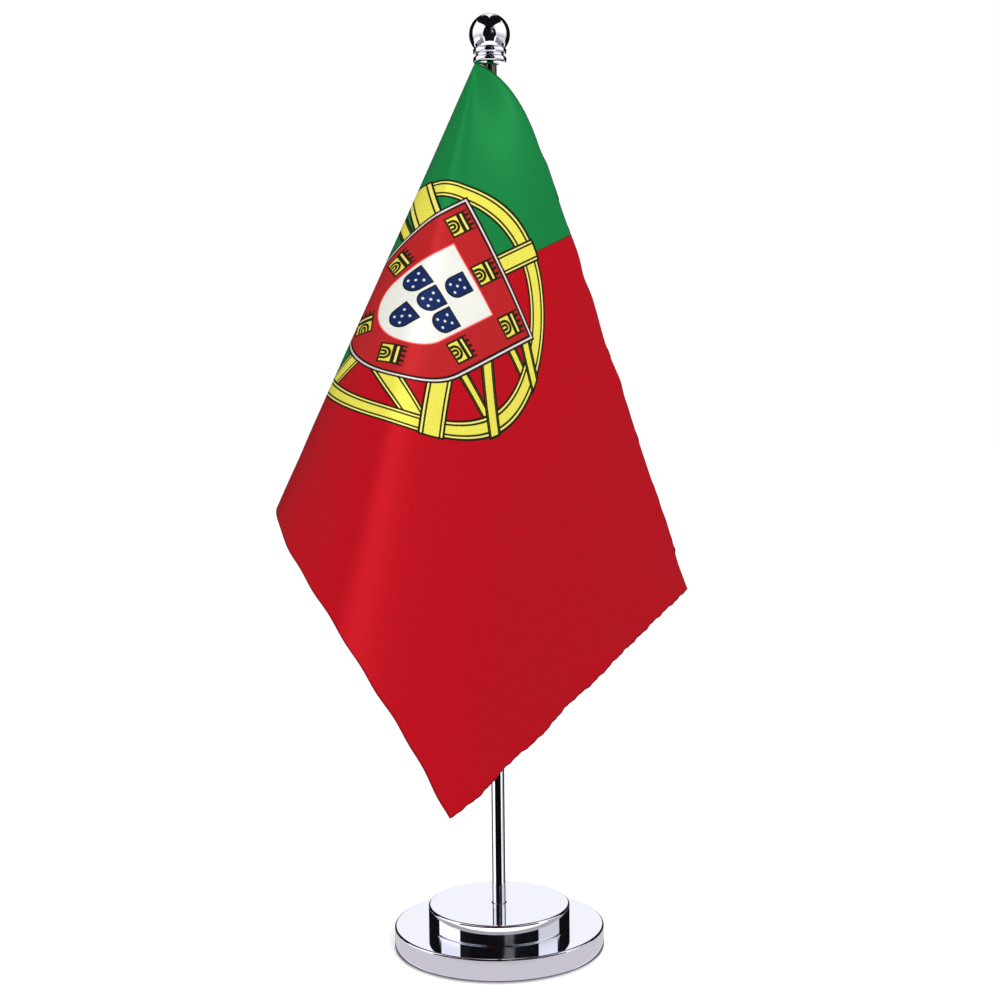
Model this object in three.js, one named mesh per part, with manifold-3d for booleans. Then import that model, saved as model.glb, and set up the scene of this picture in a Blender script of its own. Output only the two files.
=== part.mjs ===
// A desk flag stand: a stepped round base, a slim tube pole, a ball finial on a two-ring
// collar, and a small flag that hangs in one deep fold from its top hoist corner.
// Millimetres, +Z up. The origin is the centre of the base pad's underside, on the pole's
// axis. +X is the side that the flag's free top corner hangs on, -Y is the flag's front.
import * as THREE from 'three';
import { mergeVertices } from 'three/addons/utils/BufferGeometryUtils.js';
import Module from 'manifold-3d';

// ---- driving dimensions -------------------------------------------------------------

// Base: a foam pad let into the underside of a plate, and a smaller disc on the plate.
const PLATE_DIAMETER = 72;
const PLATE_THICKNESS = 7.6;
const RISER_DIAMETER = 48.5;
const RISER_HEIGHT = 7;
const DISC_EDGE_RADIUS = 0.6;
const PAD_THICKNESS = 2;
const PAD_PROUD = 0.6; // how far the pad stands out below the plate
const PLATE_RIM = 4; // metal left round the pad's recess
const SPIGOT_DIAMETER = 14; // locating boss under the riser
const SPIGOT_HEIGHT = 1.5;

// Pole: a tube with a threaded insert pressed into each end.
const POLE_DIAMETER = 4.5;
const POLE_WALL = 0.4;
const POLE_LENGTH = 285.6;
const POLE_SOCKET_DEPTH = 2; // how deep the pole's foot stands in the riser
const INSERT_LENGTH = 12;

// Screw and stud, drawn as plain rods at the root diameter of their threads.
const THREAD_DIAMETER = 2;
const THREAD_REACH = 8; // length of rod inside an insert
const SCREW_HEAD_DIAMETER = 5;
const SCREW_HEAD_HEIGHT = 2;
const SCREW_SLOT_WIDTH = 0.8;
const SCREW_SLOT_DEPTH = 0.9;
const WASHER_DIAMETER = 6.4;
const WASHER_THICKNESS = 0.5;

// Finial: a ball that sits in the dished top of a collar with a groove round it.
const BALL_DIAMETER = 13.6;
const COLLAR_DIAMETER = 11.1;
const LOWER_RING_HEIGHT = 2.1;
const GROOVE_HEIGHT = 0.7;
const UPPER_RING_HEIGHT = 1.8;
const GROOVE_DEPTH = 0.9;
const RING_EDGE_RADIUS = 0.3;
const COLLAR_LIP = 0.45; // flat left outside the ball's dish
const BALL_HOLE_DEPTH = 5;

// Flag: cloth with a pocket sewn along its hoist, and a tab at the pocket's top.
const FLAG_HOIST = 140;
const FLAG_FLY = 200; // from the pocket's seam to the free edge
const CLOTH_THICKNESS = 0.8;
const POCKET_WALL = 0.6;
const POCKET_DROP = 9; // bare pole between the tab and the pocket
const SEAM_REACH = 3.4; // from the pocket's round wall out to its seam
const SEAM_HEADING = 210.4; // degrees from +X, counterclockwise seen from above
const TAB_THICKNESS = 0.4;
const TAB_MARGIN = 1; // cloth round the hole that the stud goes through

// The fold. Straight lines run out through the cloth from the top hoist corner, and their
// directions follow one smooth curve through these, from the hoist to the top edge: each
// is a tilt away from plumb and a heading from +X, in degrees.
const FOLD_LINES = [
  [0, 170],
  [13, 172],
  [25, 195],
  [21, 229],
  [12, 258],
  [9, 352],
  [26, 30],
];
const TOP_EDGE_SWING = [12, -8, 3.5]; // how far the top edge swings out round the pole
const SWING_ONSET = 12.5; // distance from the corner over which the swing builds up
const SWING_STARTS = 50; // degrees from the hoist at which the swing begins
const CORNER_TRIM = 3; // the solid stops this far from the pinched corner
const PINCH_SLOPE = 0.1; // the solid thins towards that corner, per millimetre from it

// Clearances.
const PRESS_GAP = 0.15; // insert in the tube, ball in its dish
const THREAD_GAP = 0.3; // rod in a threaded hole
const SEAT_GAP = 0.1; // faces that meet across a joint
const LOCATING_GAP = 0.15; // spigot in the plate, pad in its recess
const POLE_SOCKET_GAP = 0.3; // round the pole's foot
const POCKET_GAP = 0.45; // pocket round the pole
const SEAM_GAP = 0.35; // pocket's flange to the cloth's own solid
const HEAD_GAP = 0.7; // round the screw head, in its counterbore

// Facets.
const ROUND_STEPS = 48;
const ROD_STEPS = 24;
const EDGE_STEPS = 2;
const DISH_STEPS = 4;
const BALL_STEPS = 14;
const CLOTH_STEPS_ALONG = 12;
const CLOTH_STEPS_HOIST_TO_CORNER = 18;
const CLOTH_STEPS_CORNER_TO_TOP = 10;

// ---- levels and radii that follow from them -----------------------------------------

const plateBottom = PAD_PROUD;
const plateTop = plateBottom + PLATE_THICKNESS;
const riserTop = plateTop + RISER_HEIGHT;
const socketFloor = riserTop - POLE_SOCKET_DEPTH;
const poleFoot = socketFloor + SEAT_GAP;
const poleTop = poleFoot + POLE_LENGTH;
const tabBottom = poleTop + SEAT_GAP;
const collarBottom = tabBottom + TAB_THICKNESS + SEAT_GAP;
const collarTop = collarBottom + LOWER_RING_HEIGHT + GROOVE_HEIGHT + UPPER_RING_HEIGHT;

const poleRadius = POLE_DIAMETER / 2;
const threadRadius = THREAD_DIAMETER / 2;
const threadHoleRadius = threadRadius + THREAD_GAP;

const ballRadius = BALL_DIAMETER / 2;
const dishRadius = ballRadius + PRESS_GAP;
const dishRim = COLLAR_DIAMETER / 2 - COLLAR_LIP;
const ballCentre = collarTop + Math.sqrt(dishRadius ** 2 - dishRim ** 2);
const ballBottom = ballCentre - ballRadius;

const pocketInner = poleRadius + POCKET_GAP;
const pocketOuter = pocketInner + POCKET_WALL;
const hoistDistance = pocketOuter + SEAM_REACH;
const cornerLevel = poleTop - 2 * SEAT_GAP - CLOTH_THICKNESS / 2 - 0.1;

// ---- materials ----------------------------------------------------------------------

function material(color, roughness, metalness) {
  return new THREE.MeshStandardMaterial({ color, roughness, metalness });
}

const chrome = material(0xe6e8ee, 0.06, 1);
const steel = material(0x9a9ca0, 0.35, 1);
const brass = material(0xb8964f, 0.3, 1);
const foam = material(0x1c1c1e, 0.95, 0);
const redCloth = material(0xc4202c, 0.75, 0);
const greenCloth = material(0x1f8a4c, 0.75, 0);

// ---- shape helpers ------------------------------------------------------------------

function radians(degrees) {
  return THREE.MathUtils.degToRad(degrees);
}

// Profile points are (radius, height).
function point(radius, height) {
  return new THREE.Vector2(radius, height);
}

// Points along an arc of a profile, from one angle to another, in degrees.
function arc(centreRadius, centreHeight, radius, from, to, steps = EDGE_STEPS) {
  const points = [];
  for (let i = 0; i <= steps; i += 1) {
    const angle = radians(from + ((to - from) * i) / steps);
    points.push(
      point(centreRadius + radius * Math.cos(angle), centreHeight + radius * Math.sin(angle)),
    );
  }
  return points;
}

// The outside of a ring or disc, from its bottom edge up to its top edge, edges rounded.
function roundedSide(radius, bottom, top, edge) {
  return [
    ...arc(radius - edge, bottom + edge, edge, -90, 0),
    ...arc(radius - edge, top - edge, edge, 0, 90),
  ];
}

function turned(name, profile, finish, steps = ROUND_STEPS) {
  const geometry = new THREE.LatheGeometry(profile, steps);
  geometry.rotateX(Math.PI / 2);
  const mesh = new THREE.Mesh(geometry, finish);
  mesh.name = name;
  return mesh;
}

// A round piece with a hole right through it: its section closes on itself.
function turnedRing(name, section, finish, steps = ROUND_STEPS) {
  return turned(name, [...section, section[0].clone()], finish, steps);
}

// A tube or washer with square edges.
function sleeveSection(inner, outer, bottom, top) {
  return [point(inner, bottom), point(outer, bottom), point(outer, top), point(inner, top)];
}

function extruded(name, shape, bottom, height, finish) {
  const options = { depth: height, bevelEnabled: false, curveSegments: ROD_STEPS };
  const mesh = new THREE.Mesh(new THREE.ExtrudeGeometry(shape, options), finish);
  mesh.name = name;
  mesh.position.z = bottom;
  return mesh;
}

const wasm = await Module();
wasm.setup();

function toSolid(geometry) {
  const bare = geometry.clone();
  bare.deleteAttribute('normal');
  bare.deleteAttribute('uv');
  const merged = mergeVertices(bare, 1e-4);
  return new wasm.Manifold(
    new wasm.Mesh({
      numProp: 3,
      vertProperties: merged.attributes.position.array,
      triVerts: new Uint32Array(merged.index.array),
    }),
  );
}

function fromSolid(solid) {
  const mesh = solid.getMesh();
  const geometry = new THREE.BufferGeometry();
  geometry.setAttribute('position', new THREE.BufferAttribute(mesh.vertProperties, 3));
  geometry.setIndex(new THREE.BufferAttribute(mesh.triVerts, 1));
  geometry.computeVertexNormals();
  return geometry;
}

// ---- base ---------------------------------------------------------------------------

const recessRadius = PLATE_DIAMETER / 2 - PLATE_RIM;
const padTop = PAD_THICKNESS;
const counterboreRadius = Math.max(WASHER_DIAMETER, SCREW_HEAD_DIAMETER) / 2 + HEAD_GAP;
const counterboreTop = padTop + SCREW_HEAD_HEIGHT + WASHER_THICKNESS + HEAD_GAP;
const spigotRadius = SPIGOT_DIAMETER / 2;
const spigotBottom = plateTop - SPIGOT_HEIGHT;

function basePlate() {
  const pocketRadius = spigotRadius + LOCATING_GAP;
  const pocketFloor = spigotBottom - LOCATING_GAP;
  return turnedRing(
    'base_plate',
    [
      point(recessRadius, plateBottom),
      ...roundedSide(PLATE_DIAMETER / 2, plateBottom, plateTop, DISC_EDGE_RADIUS),
      point(pocketRadius, plateTop),
      point(pocketRadius, pocketFloor),
      point(threadHoleRadius, pocketFloor),
      point(threadHoleRadius, counterboreTop),
      point(counterboreRadius, counterboreTop),
      point(counterboreRadius, padTop),
      point(recessRadius, padTop),
    ],
    chrome,
  );
}

function baseRiser() {
  const socketRadius = poleRadius + POLE_SOCKET_GAP;
  return turnedRing(
    'base_riser',
    [
      point(threadHoleRadius, spigotBottom),
      point(spigotRadius, spigotBottom),
      point(spigotRadius, plateTop),
      ...roundedSide(RISER_DIAMETER / 2, plateTop, riserTop, DISC_EDGE_RADIUS),
      point(socketRadius, riserTop),
      point(socketRadius, socketFloor),
      point(threadHoleRadius, socketFloor),
    ],
    chrome,
  );
}

function basePad() {
  const radius = recessRadius - LOCATING_GAP;
  return turned(
    'base_pad',
    [point(0, 0), point(radius, 0), point(radius, padTop), point(0, padTop)],
    foam,
  );
}

function screwWasher() {
  const section = sleeveSection(
    threadHoleRadius,
    WASHER_DIAMETER / 2,
    counterboreTop - WASHER_THICKNESS,
    counterboreTop,
  );
  return turnedRing('screw_washer', section, steel, ROD_STEPS);
}

// A slotted pan-head screw that comes up through both discs into the pole's foot.
function baseScrew() {
  const headTop = counterboreTop - WASHER_THICKNESS;
  const headBottom = headTop - SCREW_HEAD_HEIGHT;
  const headRadius = SCREW_HEAD_DIAMETER / 2;
  const tip = poleFoot + THREAD_REACH;
  const screw = turned(
    'base_screw',
    [
      point(0, headBottom),
      ...arc(headRadius - RING_EDGE_RADIUS, headBottom + RING_EDGE_RADIUS, RING_EDGE_RADIUS, -90, 0),
      point(headRadius, headTop),
      point(threadRadius, headTop),
      point(threadRadius, tip - threadRadius / 2),
      point(threadRadius / 2, tip),
      point(0, tip),
    ],
    steel,
    ROD_STEPS,
  );
  const slot = new THREE.BoxGeometry(
    2 * SCREW_HEAD_DIAMETER,
    SCREW_SLOT_WIDTH,
    2 * SCREW_SLOT_DEPTH,
  );
  slot.translate(0, 0, headBottom);
  screw.geometry = fromSolid(toSolid(screw.geometry).subtract(toSolid(slot)));
  return screw;
}

// ---- pole ---------------------------------------------------------------------------

function poleTube() {
  const section = sleeveSection(poleRadius - POLE_WALL, poleRadius, poleFoot, poleTop);
  return turnedRing('pole_tube', section, chrome, ROD_STEPS);
}

function poleInsert(name, bottom) {
  const outer = poleRadius - POLE_WALL - PRESS_GAP;
  const section = sleeveSection(threadHoleRadius, outer, bottom, bottom + INSERT_LENGTH);
  return turnedRing(name, section, brass, ROD_STEPS);
}

// ---- finial -------------------------------------------------------------------------

function finialCollar() {
  const ringRadius = COLLAR_DIAMETER / 2;
  const grooveBottom = collarBottom + LOWER_RING_HEIGHT;
  const grooveTop = grooveBottom + GROOVE_HEIGHT;
  const rimAngle = THREE.MathUtils.radToDeg(Math.asin((ballCentre - collarTop) / dishRadius));
  const boreAngle = THREE.MathUtils.radToDeg(Math.acos(threadHoleRadius / dishRadius));
  const edge = Math.min(RING_EDGE_RADIUS, COLLAR_LIP / 2);
  return turnedRing(
    'finial_collar',
    [
      point(threadHoleRadius, collarBottom),
      ...roundedSide(ringRadius, collarBottom, grooveBottom, edge),
      point(ringRadius - GROOVE_DEPTH, grooveBottom),
      point(ringRadius - GROOVE_DEPTH, grooveTop),
      ...roundedSide(ringRadius, grooveTop, collarTop, edge),
      ...arc(0, ballCentre, dishRadius, -rimAngle, -boreAngle, DISH_STEPS),
    ],
    chrome,
  );
}

function finialBall() {
  const holeTop = ballBottom + BALL_HOLE_DEPTH;
  const mouthAngle = THREE.MathUtils.radToDeg(Math.acos(threadHoleRadius / ballRadius));
  const surface = arc(0, ballCentre, ballRadius, -mouthAngle, 90, BALL_STEPS);
  surface[surface.length - 1].x = 0;
  return turned(
    'finial_ball',
    [point(0, holeTop), point(threadHoleRadius, holeTop), ...surface],
    chrome,
  );
}

function finialStud() {
  const bottom = poleTop - THREAD_REACH;
  const top = ballBottom + BALL_HOLE_DEPTH - THREAD_GAP;
  return turned(
    'finial_stud',
    [
      point(0, bottom),
      point(threadRadius / 2, bottom),
      point(threadRadius, bottom + threadRadius / 2),
      point(threadRadius, top),
      point(0, top),
    ],
    steel,
    ROD_STEPS,
  );
}

// ---- flag ---------------------------------------------------------------------------

const seamAngle = radians(SEAM_HEADING);
const hoistCorner = new THREE.Vector3(
  hoistDistance * Math.cos(seamAngle),
  hoistDistance * Math.sin(seamAngle),
  cornerLevel,
);

function directionOf([tilt, heading]) {
  const out = Math.sin(radians(tilt));
  return new THREE.Vector3(
    out * Math.cos(radians(heading)),
    out * Math.sin(radians(heading)),
    -Math.cos(radians(tilt)),
  );
}

const foldCurve = new THREE.CatmullRomCurve3(FOLD_LINES.map(directionOf));
foldCurve.arcLengthDivisions = 800;

// Where the cloth hangs: the point at a distance from the top hoist corner, on the line
// that leaves that corner at an angle from the hoist, in radians.
function clothPoint(distance, angle) {
  const line = foldCurve.getPointAt(angle / (Math.PI / 2)).normalize();
  const share = THREE.MathUtils.smoothstep(angle, radians(SWING_STARTS), Math.PI / 2);
  const onset = 1 - Math.exp(-distance / SWING_ONSET);
  const fade = Math.max(0, 1 - distance / FLAG_FLY);
  const swing = new THREE.Vector3(...TOP_EDGE_SWING).multiplyScalar(share * onset * fade);
  return hoistCorner.clone().addScaledVector(line, distance).add(swing);
}

function clothNormal(distance, angle) {
  const step = 0.01;
  const low = Math.max(0, angle - step);
  const high = Math.min(Math.PI / 2, angle + step);
  const across = clothPoint(distance, high).sub(clothPoint(distance, low));
  const along = clothPoint(distance + step, angle).sub(clothPoint(distance - step, angle));
  return across.cross(along).normalize();
}

// The draped cloth as one thin closed solid, trimmed round its pinched corner.
function flagCloth() {
  const cornerAngle = Math.atan2(FLAG_FLY, FLAG_HOIST);
  const angles = [];
  for (let i = 0; i <= CLOTH_STEPS_HOIST_TO_CORNER; i += 1) {
    angles.push((cornerAngle * i) / CLOTH_STEPS_HOIST_TO_CORNER);
  }
  for (let i = 1; i <= CLOTH_STEPS_CORNER_TO_TOP; i += 1) {
    angles.push(
      cornerAngle + ((Math.PI / 2 - cornerAngle) * i) / CLOTH_STEPS_CORNER_TO_TOP,
    );
  }
  const rows = CLOTH_STEPS_ALONG + 1;
  const positions = [];
  for (const side of [-0.5, 0.5]) {
    for (const angle of angles) {
      const edge = Math.min(
        FLAG_HOIST / Math.max(Math.cos(angle), 1e-9),
        FLAG_FLY / Math.max(Math.sin(angle), 1e-9),
      );
      for (let j = 0; j < rows; j += 1) {
        const distance = CORNER_TRIM + ((edge - CORNER_TRIM) * j) / CLOTH_STEPS_ALONG;
        const thickness = Math.min(CLOTH_THICKNESS, distance * PINCH_SLOPE);
        const offset = clothNormal(distance, angle).multiplyScalar(side * thickness);
        positions.push(...clothPoint(distance, angle).add(offset).toArray());
      }
    }
  }
  const columns = angles.length;
  const layer = columns * rows;
  const index = [];
  const quad = (a, b, c, d) => index.push(a, b, c, a, c, d);
  for (let i = 0; i < columns - 1; i += 1) {
    for (let j = 0; j < rows - 1; j += 1) {
      const a = i * rows + j;
      const b = a + rows;
      quad(a, a + 1, b + 1, b);
      quad(layer + a, layer + b, layer + b + 1, layer + a + 1);
    }
    const near = i * rows;
    const far = near + rows - 1;
    quad(near, near + rows, layer + near + rows, layer + near);
    quad(far, layer + far, layer + far + rows, far + rows);
  }
  for (let j = 0; j < rows - 1; j += 1) {
    const hoist = j;
    const top = (columns - 1) * rows + j;
    quad(hoist, layer + hoist, layer + hoist + 1, hoist + 1);
    quad(top, top + 1, layer + top + 1, layer + top);
  }
  const geometry = new THREE.BufferGeometry();
  geometry.setAttribute('position', new THREE.Float32BufferAttribute(positions, 3));
  geometry.setIndex(index);
  geometry.computeVertexNormals();
  const mesh = new THREE.Mesh(geometry, redCloth);
  mesh.name = 'flag_cloth';
  return mesh;
}

// A round outline about the pole with a tongue that reaches towards the seam.
function tongueShape(radius, reach, halfWidth) {
  const open = Math.asin(halfWidth / radius);
  const shape = new THREE.Shape();
  shape.absarc(0, 0, radius, seamAngle + open, seamAngle - open + 2 * Math.PI, false);
  for (const side of [-1, 1]) {
    shape.lineTo(
      reach * Math.cos(seamAngle) - side * halfWidth * Math.sin(seamAngle),
      reach * Math.sin(seamAngle) + side * halfWidth * Math.cos(seamAngle),
    );
  }
  shape.closePath();
  return shape;
}

function withHole(shape, radius) {
  const hole = new THREE.Path();
  hole.absarc(0, 0, radius, 0, 2 * Math.PI, true);
  shape.holes.push(hole);
  return shape;
}

// The pocket that the pole goes through, with its two layers sewn together at the seam.
function flagSleeve() {
  const bottom = cornerLevel - FLAG_HOIST;
  const top = tabBottom - POCKET_DROP;
  const shape = tongueShape(pocketOuter, hoistDistance - SEAM_GAP - CLOTH_THICKNESS / 2, POCKET_WALL);
  return extruded('flag_sleeve', withHole(shape, pocketInner), bottom, top - bottom, greenCloth);
}

// The cloth tab that hangs the flag: the stud goes through it, under the collar.
function flagTab() {
  const radius = threadHoleRadius + TAB_MARGIN;
  const shape = tongueShape(radius, hoistDistance, TAB_MARGIN);
  return extruded('flag_tab', withHole(shape, threadHoleRadius), tabBottom, TAB_THICKNESS, greenCloth);
}

// ---- the whole stand ----------------------------------------------------------------

const stand = new THREE.Group();
stand.name = 'desk_flag_stand';

const base = new THREE.Group();
base.add(basePlate(), baseRiser(), basePad(), screwWasher(), baseScrew());

const pole = new THREE.Group();
pole.add(
  poleTube(),
  poleInsert('pole_foot_insert', poleFoot),
  poleInsert('pole_head_insert', poleTop - INSERT_LENGTH),
);

const finial = new THREE.Group();
finial.add(finialCollar(), finialBall(), finialStud());

const flag = new THREE.Group();
flag.add(flagCloth(), flagSleeve(), flagTab());

stand.add(base, pole, finial, flag);

export default stand;
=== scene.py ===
"""The looks of a desk flag stand: chromed base, pole and finial, and a printed cloth flag.

Lengths in the constants are millimetres, and Blender gets metres. The frame is the CAD
part's: +Z up, the pole's axis at the origin, the flag's front towards -Y.
"""

import math

import bpy
import numpy as np
from mathutils import Euler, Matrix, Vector


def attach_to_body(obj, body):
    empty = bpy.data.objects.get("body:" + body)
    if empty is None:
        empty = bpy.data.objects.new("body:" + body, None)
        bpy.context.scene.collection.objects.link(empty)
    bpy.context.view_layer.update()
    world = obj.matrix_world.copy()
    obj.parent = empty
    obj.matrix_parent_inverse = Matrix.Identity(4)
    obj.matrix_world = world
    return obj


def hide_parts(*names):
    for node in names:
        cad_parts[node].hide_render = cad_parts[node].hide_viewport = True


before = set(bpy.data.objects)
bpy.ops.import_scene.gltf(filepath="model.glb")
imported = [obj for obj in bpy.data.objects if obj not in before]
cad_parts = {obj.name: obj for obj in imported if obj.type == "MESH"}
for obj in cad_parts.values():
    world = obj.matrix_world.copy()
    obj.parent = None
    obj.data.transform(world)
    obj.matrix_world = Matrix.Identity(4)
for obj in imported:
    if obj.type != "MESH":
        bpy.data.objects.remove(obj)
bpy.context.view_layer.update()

MM = 0.001

# ---- the CAD part's own sizes ---------------------------------------------------------

PLATE_RADIUS = 36.0
PLATE_BOTTOM = 0.6
PLATE_TOP = 8.2
RECESS_RADIUS = 32.0
PAD_RADIUS = 31.85
PAD_TOP = 2.0
RISER_RADIUS = 24.25
RISER_TOP = 15.2
SOCKET_FLOOR = 13.2
SPIGOT_RADIUS = 7.0
SPIGOT_BOTTOM = 6.7
DISC_EDGE = 0.6
SPIGOT_GAP = 0.15
SOCKET_GAP = 0.3

POLE_RADIUS = 2.25
POLE_BORE = 1.85
POLE_FOOT = 13.3
POLE_HEAD = 298.9
INSERT_RADIUS = 1.7
INSERT_LENGTH = 12.0
WAIST_DEPTH = 0.12  # the plain waist between an insert's knurled bands
BORE_RADIUS = 1.3

SCREW_HEAD_RADIUS = 2.5
SCREW_HEAD_BOTTOM = 2.7
SCREW_HEAD_TOP = 4.7
WASHER_RADIUS = 3.2
WASHER_TOP = 5.2
WASHER_THICKNESS = 0.5
COUNTERBORE_RADIUS = 3.9
SLOT_WIDTH = 0.8
SLOT_DEPTH = 0.9
THREAD_ROOT = 1.0
THREAD_CREST = 1.24
THREAD_PITCH = 0.45
SCREW_TIP = 21.3
STUD_BOTTOM = 290.9

COLLAR_RADIUS = 5.55
COLLAR_BOTTOM = 299.5
LOWER_RING_TOP = 301.6
UPPER_RING_BOTTOM = 302.3
COLLAR_TOP = 304.1
GROOVE_RADIUS = 4.65
RING_EDGE = 0.8
BALL_RADIUS = 6.8
DISH_RADIUS = 6.95
DISH_RIM = 5.1
BALL_HOLE_DEPTH = 5.0
BALL_CENTRE = COLLAR_TOP + math.sqrt(DISH_RADIUS**2 - DISH_RIM**2)
STUD_TOP = BALL_CENTRE - BALL_RADIUS + BALL_HOLE_DEPTH - 0.3

FLAG_FLY = 200.0
FLAG_HOIST = 140.0
HOIST_DISTANCE = 6.7  # pole's axis to the pocket's seam
SEAM_HEADING = math.radians(210.4)
CORNER_LEVEL = 298.2
FOLD_LINES = [  # tilt from plumb and heading, in degrees, from the hoist to the top edge
    (0, 170),
    (13, 172),
    (25, 195),
    (21, 229),
    (12, 258),
    (9, 352),
    (26, 30),
]
TOP_EDGE_SWING = np.array([12.0, -8.0, 3.5])
SWING_ONSET = 12.5
SWING_STARTS = math.radians(50)
CORNER_LIFT = 1.4  # the thin cloth is drawn up closer under the collar than the solid is
CORNER_LIFT_REACH = 45.0
CLOTH_DROP = 0.2
FOLD_SHIFT = 1.1  # the folded side is pulled in under the collar
FOLD_SHIFT_REACH = 70.0
FOLD_SHIFT_LOSS = 0.7  # the share of it that is lost towards the top edge
# Creases: two ends on the flat cloth, height and half width.
CREASES = [
    ((152, 22), (140, 86), 0.35, 1.6),
    ((96, 128), (176, 60), -0.18, 3.5),
    ((60, 118), (120, 136), 0.25, 6.0),
]
# Waves of the cut edges and of the cloth beside them: amplitude, length and start.
TOP_EDGE_WAVES = ((0.45, 47, 0.6), (0.3, 23, 2.1), (0.14, 11, 4.0))
FLY_EDGE_WAVES = ((0.3, 31, 1.0), (0.16, 9, 0.3), (0.12, 4.1, 2.0))
LOWER_EDGE_WAVES = ((0.3, 53, 3.0), (0.2, 19, 1.2))
TOP_RIPPLES = ((1.0, 46, 0.4), (0.4, 27, 2.0))
FLY_RIPPLES = ((1.0, 38, 2.2),)
POCKET_TOP = 290.0
TAB_LEVEL = 299.2
TAB_HALF_WIDTH = 0.8
TAB_REACH = HOIST_DISTANCE - 1.0
TAB_RADIUS = 2.1
TAB_HOLE_RADIUS = 1.36
TAB_THICKNESS = 0.34
TAB_BEND = 5.6  # from here out the tongue turns down

# ---- finer sizes that only the looks have ---------------------------------------------

CLOTH_THICKNESS = 0.3
CLOTH_CELL = 1.2
FINE_CELL = 0.35
POCKET_RADIUS = 2.85
POCKET_HEM = 4.5  # the turned-under cloth behind the flag, past the seam
STITCH_PITCH = 2.6
STITCH_LENGTH = 1.9
THREAD_THICKNESS = 0.32
STITCHING_START = 26  # the first stitch, down the hoist
HEM_GAP = 0.04  # between the flag and the hem behind it
BREAK = 0.06  # the small bevel on a machined edge


# ---- shader drawing: sums made out of math nodes --------------------------------------


class Value:
    """A number that a shader works out, which ordinary arithmetic can be done on."""

    def __init__(self, tree, socket):
        self.tree, self.socket = tree, socket

    def math(self, operation, *others, clamp=False):
        return sum_node(self.tree, operation, self, *others, clamp=clamp)

    def __add__(self, other):
        return self.math("ADD", other)

    __radd__ = __add__

    def __sub__(self, other):
        return self.math("SUBTRACT", other)

    def __rsub__(self, other):
        return sum_node(self.tree, "SUBTRACT", other, self)

    def __mul__(self, other):
        return self.math("MULTIPLY", other)

    __rmul__ = __mul__

    def __abs__(self):
        return self.math("ABSOLUTE")


def sum_node(tree, operation, *terms, clamp=False):
    node = tree.nodes.new("ShaderNodeMath")
    node.operation = operation
    node.use_clamp = clamp
    for socket, term in zip(node.inputs, terms):
        if isinstance(term, Value):
            tree.links.new(term.socket, socket)
        else:
            socket.default_value = term
    return Value(tree, node.outputs[0])


def larger(first, *rest):
    for value in rest:
        first = first.math("MAXIMUM", value)
    return first


def smaller(first, *rest):
    for value in rest:
        first = first.math("MINIMUM", value)
    return first


def distance(x, y):
    return (x * x).math("ADD", y * y).math("SQRT")


PRINT_EDGE = 0.2  # width over which one ink gives way to the next


def inside(gap, soft=PRINT_EDGE):
    """1 where a signed distance is below zero, 0 where it's above."""
    return gap.math("MULTIPLY_ADD", -1 / soft, 0.5, clamp=True)


def paint(tree, under, over, cover):
    """One colour laid over another where cover is 1."""
    node = tree.nodes.new("ShaderNodeMix")
    node.data_type = "RGBA"
    tree.links.new(cover.socket, node.inputs["Factor"])
    for key, colour in ((6, under), (7, over)):
        if isinstance(colour, tuple):
            node.inputs[key].default_value = (*colour, 1)
        else:
            tree.links.new(colour, node.inputs[key])
    return node.outputs[2]


# ---- materials ------------------------------------------------------------------------


def new_material(name, colour, roughness, metallic=0.0, **constants):
    material = bpy.data.materials.new(name)
    material.use_nodes = True
    shader = material.node_tree.nodes["Principled BSDF"]
    shader.inputs["Base Color"].default_value = (*colour, 1)
    shader.inputs["Roughness"].default_value = roughness
    shader.inputs["Metallic"].default_value = metallic
    for key, value in constants.items():
        shader.inputs[key.replace("_", " ").title().replace("Ior", "IOR")].default_value = value
    return material


def position_mm(tree):
    """The point's place in the object's own frame, in millimetres."""
    nodes, links = tree.nodes, tree.links
    place = nodes.new("ShaderNodeTexCoord")
    scaled = nodes.new("ShaderNodeVectorMath")
    scaled.operation = "SCALE"
    scaled.inputs["Scale"].default_value = 1 / MM
    links.new(place.outputs["Object"], scaled.inputs[0])
    return scaled.outputs[0]


def parts_of(tree, vector):
    """A vector's three numbers."""
    split = tree.nodes.new("ShaderNodeSeparateXYZ")
    tree.links.new(vector, split.inputs[0])
    return [Value(tree, socket) for socket in split.outputs]


def noise(tree, vector, scale, detail=3.0):
    node = tree.nodes.new("ShaderNodeTexNoise")
    node.inputs["Scale"].default_value = scale
    node.inputs["Detail"].default_value = detail
    tree.links.new(vector, node.inputs["Vector"])
    return Value(tree, node.outputs["Fac"])


def add_bump(material, height, depth, strength=1.0):
    """height is in shares of depth, which is in millimetres."""
    tree = material.node_tree
    bump = tree.nodes.new("ShaderNodeBump")
    bump.inputs["Distance"].default_value = depth * MM
    bump.inputs["Strength"].default_value = strength
    tree.links.new(height.socket, bump.inputs["Height"])
    shader = tree.nodes["Principled BSDF"]
    tree.links.new(bump.outputs["Normal"], shader.inputs["Normal"])


def polished(name, colour, low, high, scale):
    """Metal whose polish varies a little from place to place."""
    material = new_material(name, colour, low, 1.0)
    tree = material.node_tree
    varied = noise(tree, position_mm(tree), scale) * (high - low) + low
    tree.links.new(varied.socket, tree.nodes["Principled BSDF"].inputs["Roughness"])
    return material


CHROME = (0.87, 0.88, 0.97)
# Painted shade on the pole just under the collar: its colour, where it starts, and how far it takes to
# fade in.
COLLAR_SHADE = (0.09, 0.075, 0.07)
COLLAR_SHADE_START = 286.0
COLLAR_SHADE_LENGTH = 9.0
chrome = polished("chrome", CHROME, 0.02, 0.045, 0.08)
steel = polished("fastener_steel", (0.55, 0.56, 0.58), 0.24, 0.36, 0.9)
brass = polished("insert_brass", (0.72, 0.53, 0.24), 0.22, 0.38, 0.7)


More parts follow.
